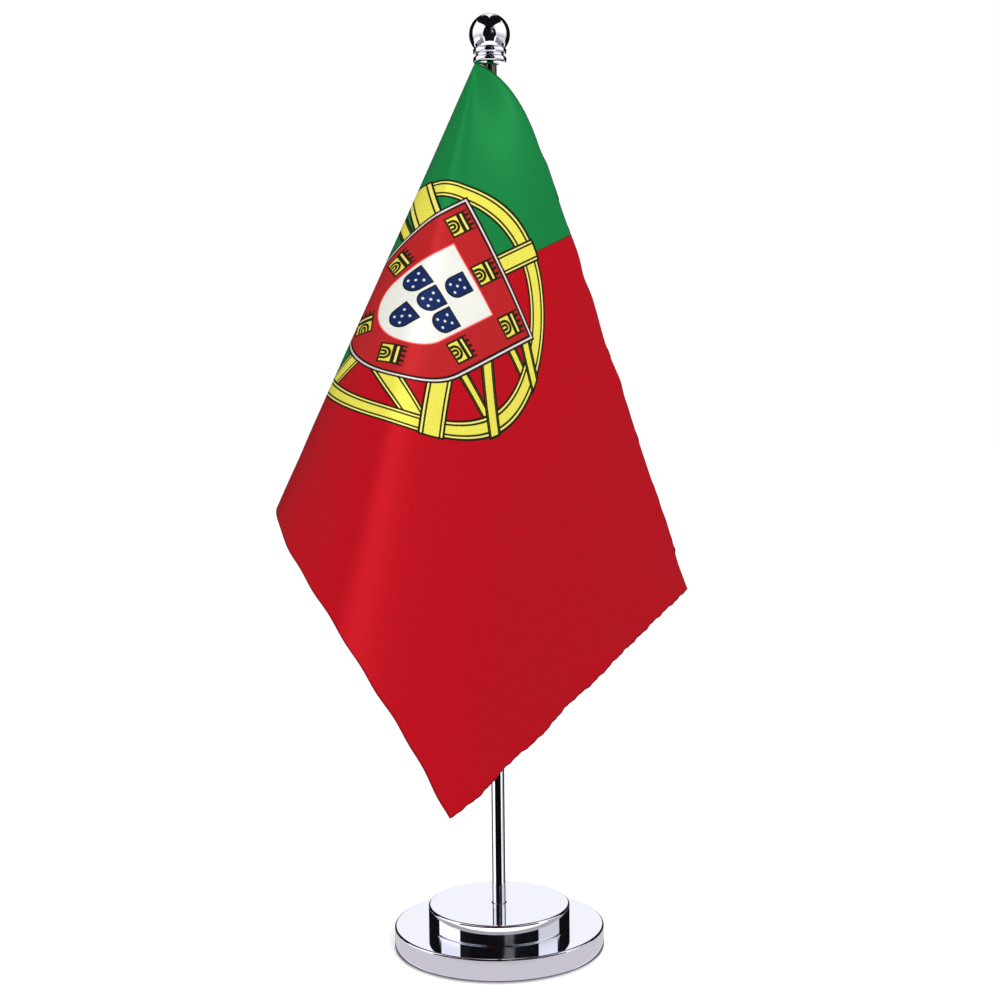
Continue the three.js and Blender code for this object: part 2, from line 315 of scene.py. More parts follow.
def foam_material():
    material = new_material("pad_foam", (0.018, 0.018, 0.02), 0.9, specular_ior_level=0.2)
    tree = material.node_tree
    cells = tree.nodes.new("ShaderNodeTexVoronoi")
    cells.inputs["Scale"].default_value = 1.6
    tree.links.new(position_mm(tree), cells.inputs["Vector"])
    add_bump(material, Value(tree, cells.outputs["Distance"]), 0.25)
    return material


foam = foam_material()

# Inks and cloth, as linear colour.
GREEN = (0.0038, 0.119, 0.0285)
RED = (0.268, 0.0012, 0.0056)
SHIELD_RED = (0.275, 0.009, 0.011)
YELLOW = (0.46, 0.425, 0.052)
PALE_YELLOW = (0.50, 0.46, 0.11)
WHITE = (0.47, 0.47, 0.435)
RIM_WHITE = (0.46, 0.38, 0.38)
BLUE = (0.004, 0.013, 0.062)
LINE = (0.006, 0.006, 0.002)
CASTLE_LINE = (0.012, 0.008, 0.002)
SEAM_LINE = (0.02, 0.02, 0.006)
INNER_RIM = (0.62, 0.12, 0.12)
THREAD_GREEN = (0.01, 0.15, 0.045)

# The printed emblem, in millimetres from its centre, x towards the fly and y up.
FIELD_EDGE = 1.0  # where the hoist colour meets the fly colour
RING_RADIUS = 42.1
RING_HALF_WIDTH = 3.2
OUTLINE = 0.72
STRAP_LINE = 0.31
STRAP_OVERLAP = 0.5  # how far a strap over the ring runs past its outer edge
SHIELD = (25.4, 31.9, -3.2)  # half width, top, centre of its round foot
INNER_SHIELD = (12.95, 20.3, -2.1)
SMALL_SHIELD = (3.75, 4.6, -0.6)
SMALL_COLUMN = 8.3
SMALL_ROW = 10.9
SMALL_LEVEL = 3.0
DOT_PLACES = (1.5, 2.0)
DOT_RADIUS = 0.42
CASTLE_COLUMN = 18.5
CASTLE_ROWS = (25.7, 3.0)
LOW_CASTLE = (9.0, -18.6)
LOW_CASTLE_TURN = math.radians(52)
MERLON_PITCH = 1.85
CASTLE_HALF_WIDTH = 3.75
CASTLE_HALF_HEIGHT = 4.4
DOOR_LEVEL = -2.5
# Straps across the ring: a point on the middle line, heading in degrees, half width, and
# how far in from the edge the inner line runs. The first lie under the ring.
UNDER_STRAPS = [
    ((20, 21.4), 1, 2.2, 0.95),
    ((20, -1.6), -2, 2.2, 0.95),
    ((6, -23), -9.5, 4.0, 1.5),
    ((0.2, -24), -90, 3.3, 1.5),
    ((-20, 8.9), 174, 2.5, 0.95),
]
OVER_STRAPS = [
    ((0.2, 28), 90, 3.8, 1.5),
    ((-20, 16.4), 168.5, 5.2, 2.2),
    ((20, 29.6), -15.5, 2.3, 0.95),
    ((19, 13.5), -32.6, 2.7, 0.95),
    ((19, -5.2), -50.5, 4.3, 1.6),
]
# The print follows the hanging cloth: it's drawn out a little along the bias, and towards
# the fly it closes up along the fly and spreads up and down the hoist.
PRINT_CENTRE = (58.5, 60.0)
PRINT_GROWTH = 1.02
PRINT_BIAS = 0.07
PRINT_CLOSING = 0.002
PRINT_SPREAD = 0.0035


def shield_gap(x, y, size):
    half_width, top, foot = size
    drop = (foot - y).math("MAXIMUM", 0.0)
    return larger(distance(x, drop) - half_width, y - top)


def strap_colour(tree, across, half_width, line_inset):
    outline = inside(half_width - OUTLINE - across)
    line = inside(abs(across - (half_width - line_inset)) - STRAP_LINE)
    edge_band = inside(half_width - line_inset - across)
    colour = paint(tree, YELLOW, PALE_YELLOW, edge_band)
    return paint(tree, colour, LINE, larger(outline, line))


def add_strap(tree, colour, x, y, radius, strap, reach, closed=False):
    """closed draws the outline across the strap's far end too."""
    (px, py), heading, half_width, line_inset = strap
    c, s = math.cos(math.radians(heading)), math.sin(math.radians(heading))
    along = x.math("MULTIPLY_ADD", c, y * s) - (px * c + py * s)
    across = abs(y.math("MULTIPLY_ADD", c, x * -s) - (py * c - px * s))
    gap = larger(across - half_width, 0 - along, radius - reach)
    strap_ink = strap_colour(tree, across, half_width, line_inset)
    if closed:
        strap_ink = paint(tree, strap_ink, LINE, inside(reach - OUTLINE - radius))
    return paint(tree, colour, strap_ink, inside(gap))


def add_castle(tree, colour, x, y):
    """A small castle: battlements over a wall with an arched door. x is its distance from
    its own middle line."""
    merlon = abs((x * (1 / MERLON_PITCH) + 0.5).math("FRACT") - 0.5) * MERLON_PITCH
    notch = smaller(y - 3.1, merlon - 0.5)
    body = larger(x - CASTLE_HALF_WIDTH, abs(y) - CASTLE_HALF_HEIGHT, notch)
    colour = paint(tree, colour, CASTLE_LINE, inside(body))
    ledge = larger(x - 3.0, abs(y - 1.75) - 0.36)
    colour = paint(tree, colour, PALE_YELLOW, inside(ledge))
    wall = inside(larger(x - 3.1, abs(y + 1.8) - 1.9))
    colour = paint(tree, colour, YELLOW, wall)
    door = distance(x, (y - DOOR_LEVEL).math("MAXIMUM", 0.0))
    rings = inside(abs(door - 1.95) - 0.46)
    rings = larger(rings, inside(abs(door - 0.7) - 0.42))
    return paint(tree, colour, CASTLE_LINE, rings * wall)


def add_small_shields(tree, colour, x, y):
    """Five small shields in a cross, each with five dots in an X. x is the distance from
    the emblem's middle line."""
    beside = inside(SMALL_COLUMN / 2 - x, 0.01)
    level = y - SMALL_LEVEL
    row = (level * (1 / SMALL_ROW)).math("ROUND").math("MAXIMUM", -1.0).math("MINIMUM", 1.0)
    here = level - row * (1 - beside) * SMALL_ROW
    across = abs(x - beside * SMALL_COLUMN)
    gap = shield_gap(across, here, SMALL_SHIELD)
    colour = paint(tree, colour, LINE, inside(gap))
    colour = paint(tree, colour, BLUE, inside(gap + 0.5))
    corner = distance(across - DOT_PLACES[0], abs(here - 0.2) - DOT_PLACES[1])
    middle = distance(across, here - 0.2)
    return paint(tree, colour, WHITE, inside(smaller(corner, middle) - DOT_RADIUS, 0.3))


def choose(switch, off, on):
    return off + (on - off) * switch


def flag_print(tree, u, v):
    """The flag's printed colour at a point u along the fly and v down the hoist."""
    p, q = u - PRINT_CENTRE[0], PRINT_CENTRE[1] - v
    x = p * (PRINT_GROWTH - PRINT_CLOSING * p) - PRINT_BIAS * q
    y = q * (PRINT_GROWTH + PRINT_SPREAD * p) - PRINT_BIAS * p
    colour = paint(tree, RED, GREEN, inside(x - FIELD_EDGE))
    colour = paint(tree, colour, SEAM_LINE, inside(abs(x - FIELD_EDGE) - 0.22) * 0.8)
    radius = distance(x, y)
    for strap in UNDER_STRAPS:
        colour = add_strap(tree, colour, x, y, radius, strap, RING_RADIUS)
    across = abs(radius - RING_RADIUS)
    ring = strap_colour(tree, across, RING_HALF_WIDTH, 1.55)
    colour = paint(tree, colour, ring, inside(across - RING_HALF_WIDTH))
    for strap in OVER_STRAPS:
        end = RING_RADIUS + RING_HALF_WIDTH + STRAP_OVERLAP
        colour = add_strap(tree, colour, x, y, radius, strap, end, closed=True)
    side = abs(x)
    gap = shield_gap(side, y, SHIELD)
    for reach, ink in ((0.45, LINE), (-0.2, RIM_WHITE), (-0.75, LINE), (-1.5, SHIELD_RED)):
        colour = paint(tree, colour, ink, inside(gap - reach))
    upper = inside((CASTLE_ROWS[0] + CASTLE_ROWS[1]) / 2 - y, 0.01)
    castle_x = smaller(side, abs(side - CASTLE_COLUMN))
    castle_y = y - CASTLE_ROWS[1] - upper * (CASTLE_ROWS[0] - CASTLE_ROWS[1])
    low = inside(y + 8.5, 0.01)
    c, s = math.cos(LOW_CASTLE_TURN), math.sin(LOW_CASTLE_TURN)
    dx, dy = side - LOW_CASTLE[0], y - LOW_CASTLE[1]
    castle_x = choose(low, castle_x, abs(dx * c - dy * s))
    castle_y = choose(low, castle_y, dx * s + dy * c)
    castle = add_castle(tree, colour, castle_x, castle_y)
    colour = paint(tree, colour, castle, inside(gap + 1.5))
    inner = shield_gap(side, y, INNER_SHIELD)
    colour = paint(tree, colour, INNER_RIM, inside(inner - 0.35, 0.4))
    colour = paint(tree, colour, WHITE, inside(inner, 0.3))
    return add_small_shields(tree, colour, side, y)


TWILL_PITCH = 0.95
# The dyed satin shines in its own colour, so a share of it is shaded as a coloured metal.
SATIN_SHINE = 0.2
SATIN_ROUGHNESS = 0.48
EDGE_BAND = 0.45  # the darker line where the hot knife sealed the cloth
SEALED_SHADE = (0.12, 0.12, 0.12)
# painted shade in the grooves of the weave
WEAVE_SHADE = (0.45, 0.45, 0.45)


def cloth_material():
    material = new_material(
        "flag_cloth",
        RED,
        SATIN_ROUGHNESS,
        SATIN_SHINE,
        sheen_weight=0.01,
        sheen_roughness=0.5,
        specular_ior_level=0.04,
    )
    tree = material.node_tree
    coordinates = tree.nodes.new("ShaderNodeUVMap")
    coordinates.uv_map = "Flat"
    along_fly, down_hoist, _ = parts_of(tree, coordinates.outputs[0])
    u, v = along_fly * FLAG_FLY, down_hoist * FLAG_HOIST
    colour = flag_print(tree, u, v)
    edge = smaller(u + 0.0, FLAG_FLY - u, v + 0.0, FLAG_HOIST - v)
    darker = tree.nodes.new("ShaderNodeMix")
    darker.data_type = "RGBA"
    darker.blend_type = "MULTIPLY"
    tree.links.new((inside(edge - EDGE_BAND, 0.4) * 0.55).socket, darker.inputs["Factor"])
    tree.links.new(colour, darker.inputs[6])
    darker.inputs[7].default_value = (*SEALED_SHADE, 1)
    twill = ((u + v) * (2 * math.pi / TWILL_PITCH)).math("SINE")
    weft = ((u - v) * (2 * math.pi / (TWILL_PITCH * 0.62))).math("SINE")
    weave = twill * 0.5 + weft * 0.2
    # Painted shade: the cloth's colour is darkened where the weave's bump is low, in its grooves.
    groove_shaded = tree.nodes.new("ShaderNodeMix")
    groove_shaded.data_type = "RGBA"
    groove_shaded.blend_type = "MULTIPLY"
    shade = inside(weave, 3.0) * 0.12
    tree.links.new(shade.socket, groove_shaded.inputs["Factor"])
    tree.links.new(darker.outputs[2], groove_shaded.inputs[6])
    groove_shaded.inputs[7].default_value = (*WEAVE_SHADE, 1)
    tree.links.new(groove_shaded.outputs[2], tree.nodes["Principled BSDF"].inputs["Base Color"])
    add_bump(material, weave, 0.03, 0.6)
    return material


cloth = cloth_material()


def hoist_material():
    material = new_material(
        "hoist_cloth",
        GREEN,
        0.7,
        sheen_weight=0.01,
        sheen_roughness=0.5,
        specular_ior_level=0.04,
    )
    tree = material.node_tree
    fine = noise(tree, position_mm(tree), 3.0, 2.0)
    tree.links.new(
        paint(tree, GREEN, tuple(0.6 * c for c in GREEN), fine * 0.5),
        tree.nodes["Principled BSDF"].inputs["Base Color"],
    )
    add_bump(material, fine, 0.04, 0.5)
    return material


hoist_cloth = hoist_material()
thread = new_material("sewing_thread", THREAD_GREEN, 0.7, sheen_weight=0.3)
thread_tree = thread.node_tree
add_bump(thread, noise(thread_tree, position_mm(thread_tree), 6.0, 2.0), 0.05, 0.6)


# ---- meshes ---------------------------------------------------------------------------


def add_mesh(name, points, faces, material, smooth=True):
    """points are in millimetres."""
    mesh = bpy.data.meshes.new(name)
    mesh.from_pydata((np.asarray(points, float) * MM).tolist(), [], [list(f) for f in faces])
    mesh.validate()
    mesh.polygons.foreach_set("use_smooth", [smooth] * len(mesh.polygons))
    mesh.materials.append(material)
    mesh.update()
    piece = bpy.data.objects.new(name, mesh)
    bpy.context.scene.collection.objects.link(piece)
    return piece


def attach(piece, body, slot, *nodes):
    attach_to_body(piece, body)
    if nodes:
        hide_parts(*nodes)
    return piece


def outline(corners, steps=6, closed=True):
    """A section of a turned piece from its corners (radius, level, bevel), each bevelled
    round, with a point on either side of each bevel that keeps the flats flat."""
    points = []
    count = len(corners)
    for i, (r, z, bevel) in enumerate(corners):
        here = np.array([r, z], float)
        ends = not closed and i in (0, count - 1)
        if bevel <= 0 or ends:
            points.append(here)
            continue
        back = np.array(corners[i - 1][:2], float) - here
        on = np.array(corners[(i + 1) % count][:2], float) - here
        back, on = back / np.linalg.norm(back), on / np.linalg.norm(on)
        half = math.acos(np.clip(back @ on, -1, 1)) / 2
        tangent = bevel / math.tan(half)
        centre = here + (back + on) / np.linalg.norm(back + on) * bevel / math.sin(half)
        start, stop = here + back * tangent, here + on * tangent
        a, b = start - centre, stop - centre
        sweep = math.acos(np.clip(a @ b / bevel**2, -1, 1))
        points.append(start + back * bevel * 0.2)
        for k in range(steps + 1):
            t = k / steps
            w1, w2 = math.sin((1 - t) * sweep), math.sin(t * sweep)
            points.append(centre + (a * w1 + b * w2) / math.sin(sweep))
        points.append(stop + on * bevel * 0.2)
    return np.array(points)


def thread_rise(level, angle):
    """How far up a thread's flank a point is, from 0 at the root to 1 at the crest."""
    phase = (level / THREAD_PITCH - angle / (2 * math.pi)) % 1.0
    return np.clip((1 - abs(2 * phase - 1) - 0.12) / 0.72, 0, 1)


def turn(name, section, material, segments=96, closed=True, rises=None):
    """Revolves a section. rises gives each of its points a share of the thread's height."""
    section = np.asarray(section, float)
    angles = np.arange(segments) * 2 * math.pi / segments
    points, rings = [], []
    for i, (r, z) in enumerate(section):
        if r < 1e-6:
            rings.append([len(points)] * segments)
            points.append((0, 0, z))
            continue
        rings.append(list(range(len(points), len(points) + segments)))
        height = 0 if rises is None else rises[i]
        for a in angles:
            radius = r + height * float(thread_rise(z, a))
            points.append((radius * math.cos(a), radius * math.sin(a), z))
    faces = []
    for i in range(len(rings) if closed else len(rings) - 1):
        low, high = rings[i], rings[(i + 1) % len(rings)]
        for j in range(segments):
            k = (j + 1) % segments
            face = [low[j], low[k], high[k], high[j]]
            face = [n for m, n in enumerate(face) if n != face[m - 1]]
            if len(face) > 2:
                faces.append(face)
    return add_mesh(name, points, faces, material)


# ---- base -----------------------------------------------------------------------------

BASE_SEGMENTS = 256
ROD_SEGMENTS = 64

base_plate = turn(
    "plate",
    outline(
        [
            (RECESS_RADIUS, PLATE_BOTTOM, 0.15),
            (PLATE_RADIUS, PLATE_BOTTOM, DISC_EDGE),
            (PLATE_RADIUS, PLATE_TOP, DISC_EDGE),
            (SPIGOT_RADIUS + SPIGOT_GAP, PLATE_TOP, BREAK),
            (SPIGOT_RADIUS + SPIGOT_GAP, SPIGOT_BOTTOM - SPIGOT_GAP, BREAK),
            (BORE_RADIUS, SPIGOT_BOTTOM - SPIGOT_GAP, BREAK),
            (BORE_RADIUS, WASHER_TOP, BREAK),
            (COUNTERBORE_RADIUS, WASHER_TOP, BREAK),
            (COUNTERBORE_RADIUS, PAD_TOP, BREAK),
            (RECESS_RADIUS, PAD_TOP, BREAK),
        ]
    ),
    chrome,
    BASE_SEGMENTS,
)
attach(base_plate, "base", "chrome_plate", "base_plate")

base_riser = turn(
    "riser",
    outline(
        [
            (BORE_RADIUS, SPIGOT_BOTTOM, BREAK),
            (SPIGOT_RADIUS, SPIGOT_BOTTOM, BREAK),
            (SPIGOT_RADIUS, PLATE_TOP, BREAK),
            (RISER_RADIUS, PLATE_TOP, 0.5),
            (RISER_RADIUS, RISER_TOP, DISC_EDGE),
            (POLE_RADIUS + SOCKET_GAP, RISER_TOP, 0.12),
            (POLE_RADIUS + SOCKET_GAP, SOCKET_FLOOR, BREAK),
            (BORE_RADIUS, SOCKET_FLOOR, BREAK),
        ]
    ),
    chrome,
    BASE_SEGMENTS,
)
attach(base_riser, "base", "chrome_plate", "base_riser")

base_pad = turn(
    "foam_pad",
    outline(
        [(0, 0, 0), (PAD_RADIUS, 0, 0.35), (PAD_RADIUS, PAD_TOP, 0.1), (0, PAD_TOP, 0)],
        closed=False,
    ),
    foam,
    BASE_SEGMENTS,
    closed=False,
)
attach(base_pad, "base", "pad_foam", "base_pad")

screw_washer = turn(
    "washer",
    outline(
        [
            (BORE_RADIUS, WASHER_TOP - WASHER_THICKNESS, BREAK),
            (WASHER_RADIUS, WASHER_TOP - WASHER_THICKNESS, 0.1),
            (WASHER_RADIUS, WASHER_TOP, BREAK),
            (BORE_RADIUS, WASHER_TOP, BREAK),
        ]
    ),
    steel,
    ROD_SEGMENTS,
)
attach(screw_washer, "base", "fastener_steel", "screw_washer")


def thread_rows(bottom, top):
    """Levels of a threaded length, with the height of the thread faded in and out."""
    levels = np.arange(bottom, top + 1e-9, THREAD_PITCH / 8)
    fade = np.clip(np.minimum(levels - bottom, top - levels) / THREAD_PITCH, 0, 1)
    return levels, fade * (THREAD_CREST - THREAD_ROOT)


def threaded(name, below, levels, rises, above):
    """A rod with plain turned ends and a thread cut along the length between them."""
    section = [*below, *[(THREAD_ROOT, z) for z in levels], *above]
    heights = [0.0] * len(below) + list(rises) + [0.0] * len(above)
    return turn(name, section, steel, 48, closed=False, rises=heights)


head = outline(
    [
        (0, SCREW_HEAD_BOTTOM, 0),
        (SCREW_HEAD_RADIUS, SCREW_HEAD_BOTTOM, 0.5),
        (SCREW_HEAD_RADIUS, SCREW_HEAD_TOP, BREAK),
        (THREAD_ROOT, SCREW_HEAD_TOP, 0),
    ],
    closed=False,
)
levels, rises = thread_rows(SCREW_HEAD_TOP + 0.6, SCREW_TIP - 0.6)
base_screw = threaded(
    "screw",
    list(map(tuple, head)),
    levels,
    rises,
    [(THREAD_ROOT * 0.95, SCREW_TIP - 0.45), (THREAD_ROOT * 0.5, SCREW_TIP), (0, SCREW_TIP)],
)


def cut_slot(piece):
    """Cuts the driver's slot across the screw's head."""
    bpy.ops.mesh.primitive_cube_add(size=1, location=(0, 0, SCREW_HEAD_BOTTOM * MM))
    cutter = bpy.context.object
    cutter.scale = (4 * SCREW_HEAD_RADIUS * MM, SLOT_WIDTH * MM, 2 * SLOT_DEPTH * MM)
    cut = piece.modifiers.new("slot", "BOOLEAN")
    cut.operation = "DIFFERENCE"
    cut.solver = "EXACT"
    cut.object = cutter
    graph = bpy.context.evaluated_depsgraph_get()
    mesh = bpy.data.meshes.new_from_object(piece.evaluated_get(graph))
    piece.modifiers.clear()
    piece.data = mesh
    mesh.set_sharp_from_angle(angle=math.radians(50))
    bpy.data.objects.remove(cutter)


cut_slot(base_screw)
attach(base_screw, "base", "fastener_steel", "base_screw")

# ---- pole -----------------------------------------------------------------------------


def pole_chrome():
    """The pole's polish, with painted shade: dark brown just under the collar, where the collar and
    the flag shade it.
    """
    material = polished("pole_chrome", CHROME, 0.02, 0.045, 0.08)
    tree = material.node_tree
    level = parts_of(tree, position_mm(tree))[2]
    # painted shade: the pole turns dark brown towards the collar
    collar_shade = (level - COLLAR_SHADE_START).math("MULTIPLY", 1 / COLLAR_SHADE_LENGTH, clamp=True)
    tree.links.new(
        paint(tree, CHROME, COLLAR_SHADE, collar_shade), tree.nodes["Principled BSDF"].inputs["Base Color"]
    )
    return material


pole_tube = turn(
    "pole",
    outline(
        [
            (POLE_BORE, POLE_FOOT, 0.05),
            (POLE_RADIUS, POLE_FOOT, 0.15),
            (POLE_RADIUS, POLE_HEAD, 0.15),
            (POLE_BORE, POLE_HEAD, 0.05),
        ]
    ),
    pole_chrome(),
    BASE_SEGMENTS // 2,
)
attach(pole_tube, "pole", "pole_steel", "pole_tube")


def pole_insert(name, node, bottom):
    """A brass insert: two bands outside with a narrower waist between them, and a threaded bore."""
    top = bottom + INSERT_LENGTH
    outside = outline(
        [
            (BORE_RADIUS, bottom, 0),
            (INSERT_RADIUS, bottom, 0.1),
            (INSERT_RADIUS, bottom + 4.5, 0.05),
            (INSERT_RADIUS - WAIST_DEPTH, bottom + 4.7, 0.05),
            (INSERT_RADIUS - WAIST_DEPTH, bottom + 7.3, 0.05),
            (INSERT_RADIUS, bottom + 7.5, 0.05),
            (INSERT_RADIUS, top, 0.1),
            (BORE_RADIUS, top, 0),
        ],
        steps=3,
        closed=False,
    )
    levels, rises = thread_rows(bottom + 0.2, top - 0.2)
    bore = [(BORE_RADIUS, z) for z in levels[::-1]]
    section = [*map(tuple, outside), *bore]
    heights = [0.0] * len(outside) + [0.6 * h for h in rises[::-1]]
    piece = turn(name, section, brass, 48, rises=heights)
    return attach(piece, "pole", "insert_brass", node)


pole_insert("foot_insert", "pole_foot_insert", POLE_FOOT)
pole_insert("head_insert", "pole_head_insert", POLE_HEAD - INSERT_LENGTH)

# ---- finial ---------------------------------------------------------------------------


def arc(centre, radius, start, stop, steps):
    """Points on a circle about the axis point at level centre, between two angles."""
    angles = np.linspace(start, stop, steps + 1)
    return [(radius * math.cos(a), centre + radius * math.sin(a)) for a in angles]


rim_angle = -math.acos(DISH_RIM / DISH_RADIUS)
bore_angle = -math.acos(BORE_RADIUS / DISH_RADIUS)
collar_outside = outline(
    [
        (BORE_RADIUS, COLLAR_BOTTOM, 0),
        (COLLAR_RADIUS, COLLAR_BOTTOM, RING_EDGE),
        (COLLAR_RADIUS, LOWER_RING_TOP, RING_EDGE),
        (GROOVE_RADIUS, LOWER_RING_TOP, 0.15),
        (GROOVE_RADIUS, UPPER_RING_BOTTOM, 0.15),
        (COLLAR_RADIUS, UPPER_RING_BOTTOM, RING_EDGE),
        (COLLAR_RADIUS, COLLAR_TOP, 0.42),
        (DISH_RIM, COLLAR_TOP, 0),
    ],
    closed=False,
)
dish = arc(BALL_CENTRE, DISH_RADIUS, rim_angle - 0.01, bore_angle, 16)
finial_collar = turn("collar", [*map(tuple, collar_outside), *dish], chrome, 128)
attach(finial_collar, "finial", "chrome_plate", "finial_collar")

mouth_angle = -math.acos(BORE_RADIUS / BALL_RADIUS)
hole_top = BALL_CENTRE - BALL_RADIUS + BALL_HOLE_DEPTH
finial_ball = turn(
    "ball",
    [
        (0, hole_top),
        (BORE_RADIUS - 0.02, hole_top),
        (BORE_RADIUS, hole_top - 0.02),
        (BORE_RADIUS, BALL_CENTRE - BALL_RADIUS + 0.2),
        *arc(BALL_CENTRE, BALL_RADIUS, mouth_angle, math.pi / 2, 64)[:-1],
        (0, BALL_CENTRE + BALL_RADIUS),
    ],
    chrome,
    128,
    closed=False,
)
attach(finial_ball, "finial", "chrome_plate", "finial_ball")

levels, rises = thread_rows(STUD_BOTTOM + 0.5, STUD_TOP - 0.3)
finial_stud = threaded(
    "stud",
    [(0, STUD_BOTTOM), (THREAD_ROOT * 0.5, STUD_BOTTOM), (THREAD_ROOT, STUD_BOTTOM + 0.45)],
    levels,
    rises,
    [(THREAD_ROOT, STUD_TOP - 0.1), (THREAD_ROOT - 0.1, STUD_TOP), (0, STUD_TOP)],
)
attach(finial_stud, "finial", "fastener_steel", "finial_stud")

# ---- how the cloth hangs --------------------------------------------------------------

hoist_corner = np.array(
    [
        HOIST_DISTANCE * math.cos(SEAM_HEADING),
        HOIST_DISTANCE * math.sin(SEAM_HEADING),
        CORNER_LEVEL,
    ]
)


def fold_curve(steps=80):
    """The fold lines' directions joined by a smooth curve, with its length along itself."""
    tilts, headings = np.radians(np.array(FOLD_LINES, float)).T
    knots = np.stack(
        [np.sin(tilts) * np.cos(headings), np.sin(tilts) * np.sin(headings), -np.cos(tilts)], -1
    )
    ends = np.vstack([2 * knots[0] - knots[1], knots, 2 * knots[-1] - knots[-2]])
    points = []
    for i in range(len(knots) - 1):
        p0, p1, p2, p3 = ends[i : i + 4]
        t0, t1, t2 = (np.sqrt(np.linalg.norm(a - b)) for a, b in ((p0, p1), (p1, p2), (p2, p3)))
        m1 = ((p1 - p0) / t0 - (p2 - p0) / (t0 + t1) + (p2 - p1) / t1) * t1
        m2 = ((p2 - p1) / t1 - (p3 - p1) / (t1 + t2) + (p3 - p2) / t2) * t1
        t = np.linspace(0, 1, steps, endpoint=False)[:, None]
        c2, c3 = -3 * p1 + 3 * p2 - 2 * m1 - m2, 2 * p1 - 2 * p2 + m1 + m2
        points.append(p1 + m1 * t + c2 * t**2 + c3 * t**3)
    curve = np.vstack([*points, knots[-1:]])
    curve /= np.linalg.norm(curve, axis=1)[:, None]
    lengths = np.linalg.norm(np.diff(curve, axis=0), axis=1)
    return curve, np.concatenate([[0], np.cumsum(lengths)])


directions, reached = fold_curve()


def ease(t):
    """From 0 to 1 with a soft start and end."""
    t = np.clip(t, 0, 1)
    return t * t * (3 - 2 * t)


def cloth_points(u, v):
    """Where a point of the cloth hangs, from its distance along the fly and down the hoist."""
    r, angle = np.hypot(u, v), np.arctan2(u, v)
    along = angle / (math.pi / 2) * reached[-1]
    line = np.stack([np.interp(along, reached, directions[:, k]) for k in range(3)], -1)
    line /= np.linalg.norm(line, axis=-1)[..., None]
    share = ease((angle - SWING_STARTS) / (math.pi / 2 - SWING_STARTS))
    swing = share * (1 - np.exp(-r / SWING_ONSET)) * np.maximum(0, 1 - r / FLAG_FLY)
    place = hoist_corner + r[..., None] * line + swing[..., None] * TOP_EDGE_SWING
    place[..., 2] += CORNER_LIFT * np.exp(-((r / CORNER_LIFT_REACH) ** 2)) - CLOTH_DROP
    folded = 1 - FOLD_SHIFT_LOSS * ease(np.degrees(angle) / 40 - 1.1)
    place[..., 0] += FOLD_SHIFT * folded * np.exp(-((r / FOLD_SHIFT_REACH) ** 2))
    return place


def waves(x, parts):
    """A sum of waves, each an amplitude, a length and a start."""
    return sum(size * np.sin(2 * math.pi * x / length + start) for size, length, start in parts)


def settled_points(u, v):
    """The cloth with its small unevenness: wavy cut edges, soft ripples and old creases."""
    top = waves(u, TOP_EDGE_WAVES) * ease(u / 50)
    fly = waves(v, FLY_EDGE_WAVES)
    lower = waves(u, LOWER_EDGE_WAVES)
    cut_u = u + fly * np.exp(-(FLAG_FLY - u) / 5)
    cut_v = v - top * np.exp(-v / 6) + lower * np.exp(-(FLAG_HOIST - v) / 6)
    place = cloth_points(cut_u, cut_v)
    free = ease(np.hypot(u, v) / 60 - 0.4)
    height = 0.55 * waves(u, TOP_RIPPLES) * np.exp(-v / 16)
    height += 0.5 * waves(v, FLY_RIPPLES) * np.exp(-(FLAG_FLY - u) / 14)
    for (u0, v0), (u1, v1), size, width in CREASES:
        length = math.hypot(u1 - u0, v1 - v0)
        eu, ev = (u1 - u0) / length, (v1 - v0) / length
        along = ((u - u0) * eu + (v - v0) * ev) / length
        across = (u - u0) * ev - (v - v0) * eu
        ends = ease(along / 0.25) * ease((1 - along) / 0.25)
        height += size * ends * np.exp(-((across / width) ** 2))
    return place + grid_normals(place) * (height * free)[..., None]


def grid_normals(points):
    across = np.gradient(points, axis=0)
    along = np.gradient(points, axis=1)
    normals = np.cross(across, along)
    lengths = np.linalg.norm(normals, axis=-1)[..., None]
    return normals / np.maximum(lengths, 1e-9)


def grid_faces(rows, columns, offset, flip):
    faces = []
    for i in range(rows - 1):
        for j in range(columns - 1):
            a = offset + i * columns + j
            quad = [a, a + 1, a + columns + 1, a + columns]
            faces.append(quad[::-1] if flip else quad)
    return faces


def sheet_mesh(name, middle, material, thickness, flat=None):
    """A sheet of cloth with thickness, from a grid of points on its middle surface. flat is
    the grid's own coordinates, which the print is drawn in."""
    rows, columns = middle.shape[:2]
    normals = grid_normals(middle)
    layers = [middle + side * thickness / 2 * normals for side in (1, -1)]
    count = rows * columns
    faces = grid_faces(rows, columns, 0, False) + grid_faces(rows, columns, count, True)
    rim = list(range(columns))
    rim += [i * columns + columns - 1 for i in range(1, rows)]
    rim += [(rows - 1) * columns + j for j in range(columns - 2, -1, -1)]
    rim += [i * columns for i in range(rows - 2, 0, -1)]
    for k, a in enumerate(rim):
        b = rim[(k + 1) % len(rim)]
        faces.append([b, a, count + a, count + b])
    piece = add_mesh(name, np.vstack([layer.reshape(-1, 3) for layer in layers]), faces, material)
    if flat is not None:
        add_coordinates(piece.data, flat.reshape(-1, 2), count)
    return piece


def add_coordinates(mesh, flat, count):
    """The print's coordinates, and a second set for baking, with the two faces of the cloth
    side by side in it."""
    corners = np.empty(len(mesh.loops), int)
    mesh.loops.foreach_get("vertex_index", corners)
    where = flat[corners % count]
    back = corners >= count
    for name in ("Flat", "OFBake"):
        layer = mesh.uv_layers.new(name=name)
        placed = where.copy()
        if name == "OFBake":
            placed[:, 1] = placed[:, 1] * 0.49 + np.where(back, 0.505, 0.005)
            placed[:, 0] = placed[:, 0] * 0.99 + 0.005
        layer.data.foreach_set("uv", placed.ravel())


